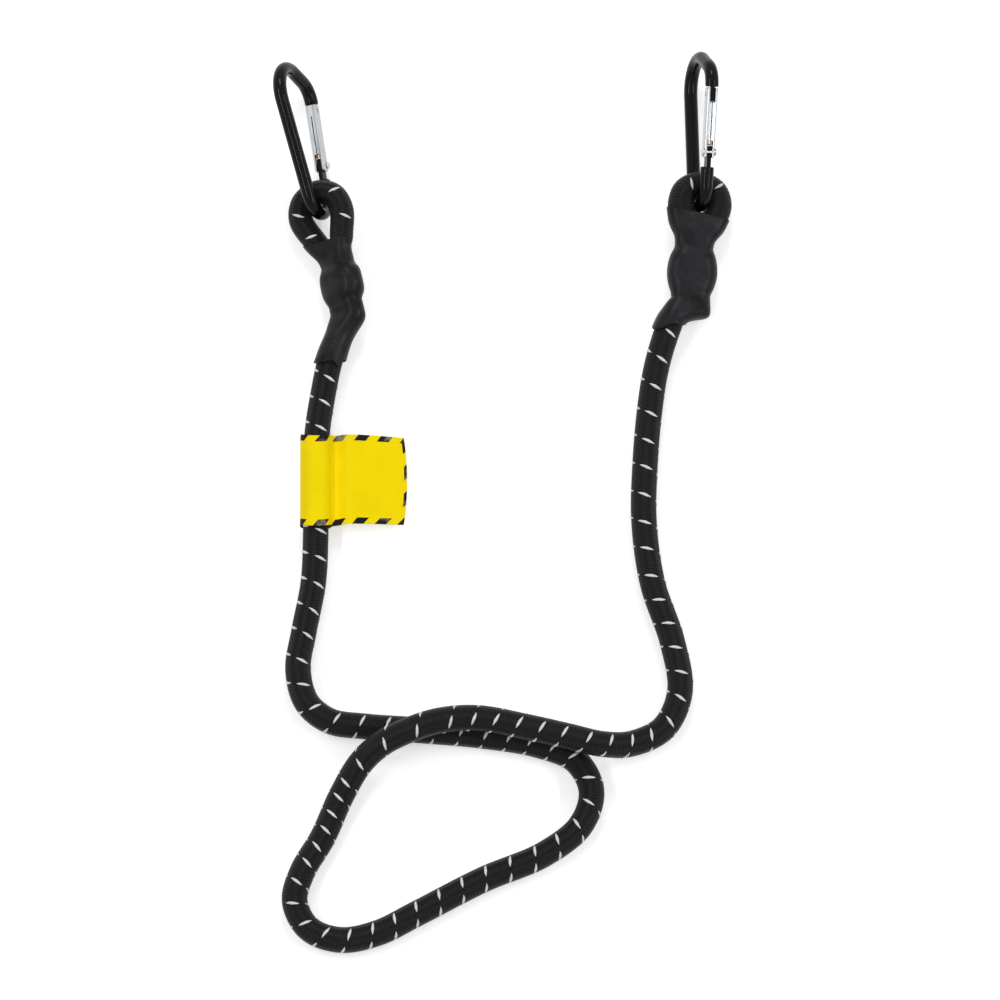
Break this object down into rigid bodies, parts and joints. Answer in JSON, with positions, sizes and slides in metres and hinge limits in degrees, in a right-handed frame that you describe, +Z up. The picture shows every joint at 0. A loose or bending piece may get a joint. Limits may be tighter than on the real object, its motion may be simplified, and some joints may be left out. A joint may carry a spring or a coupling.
{
  "type": "bungee cord with snap hooks",
  "caption": "Braided elastic tie-down cord lying in a loose loop, with an eye and a shrink sleeve at each end that hold a sprung-gate snap hook, and a flag tag.",
  "frame": {"origin": "on the table under the middle of the laid-out part", "axes": "+Y from the loop towards the hooks, +Z up from the table, +X to the right in the picture"},
  "size_m": [0.1695, 0.3397, 0.0312],
  "materials": {
    "braid": "woven, dull, with white tracer flecks",
    "core": "raw latex",
    "sleeve": "matte shrink tube",
    "crimp": "zinc plated",
    "hook": "black anodised",
    "gate": "bright polished",
    "steel": "plain",
    "spring": "spring wire",
    "plunger": "plain",
    "tag": "yellow vinyl with a black striped border"
  },
  "bodies": {
    "cord": {"braided_sheath": "braid", "rubber_core": "core", "flag_tag": "tag", "left_sleeve": "sleeve", "left_eye_crimp": "crimp", "left_tail_crimp": "crimp", "right_sleeve": "sleeve", "right_eye_crimp": "crimp", "right_tail_crimp": "crimp"},
    "left_hook": {"left_hook_body": "hook", "left_hinge_rivet": "steel"},
    "left_gate": {"left_gate": "gate", "left_latch_pin": "steel", "left_gate_spring": "spring"},
    "left_plunger": {"left_spring_plunger": "plunger"},
    "right_hook": {"right_hook_body": "hook", "right_hinge_rivet": "steel"},
    "right_gate": {"right_gate": "gate", "right_latch_pin": "steel", "right_gate_spring": "spring"},
    "right_plunger": {"right_spring_plunger": "plunger"}
  },
  "joints": [
    {"name": "left_hook_swing", "type": "hinge", "parent": "cord", "child": "left_hook", "pos_m": [-0.0688, 0.1168, 0.01075], "axis": [0.8964, 0.134, 0.4226], "range_deg": [-70, 70]},
    {"name": "left_gate_hinge", "type": "hinge", "parent": "left_hook", "child": "left_gate", "pos_m": [-0.06683, 0.12923, 0.00262], "axis": [0.8964, 0.134, 0.4226], "range_deg": [0, 30], "stiffness_Nm_per_rad": 0.05, "springref_deg": -57.3},
    {"name": "left_plunger_slide", "type": "slide", "parent": "left_gate", "child": "left_plunger", "axis": [-0.1478, 0.989, 0], "range_m": [0, 0.0012], "deforming": ["left_gate_spring"]},
    {"name": "right_hook_swing", "type": "hinge", "parent": "cord", "child": "right_hook", "pos_m": [0.0722, 0.1203, 0.0103], "axis": [-0.9608, -0.0285, 0.2756], "range_deg": [-70, 70]},
    {"name": "right_gate_hinge", "type": "hinge", "parent": "right_hook", "child": "right_gate", "pos_m": [0.07532, 0.12904, 0.02206], "axis": [-0.9608, -0.0285, 0.2756], "range_deg": [0, 30], "stiffness_Nm_per_rad": 0.05, "springref_deg": -57.3},
    {"name": "right_plunger_slide", "type": "slide", "parent": "right_gate", "child": "right_plunger", "axis": [0.0569, 0.9532, 0.297], "range_m": [0, 0.0012], "deforming": ["right_gate_spring"]}
  ],
  "couplings": [
    {"joint": "left_plunger_slide", "follows": "left_gate_hinge", "m_per_rad": 0.002015},
    {"joint": "right_plunger_slide", "follows": "right_gate_hinge", "m_per_rad": 0.002015}
  ]
}
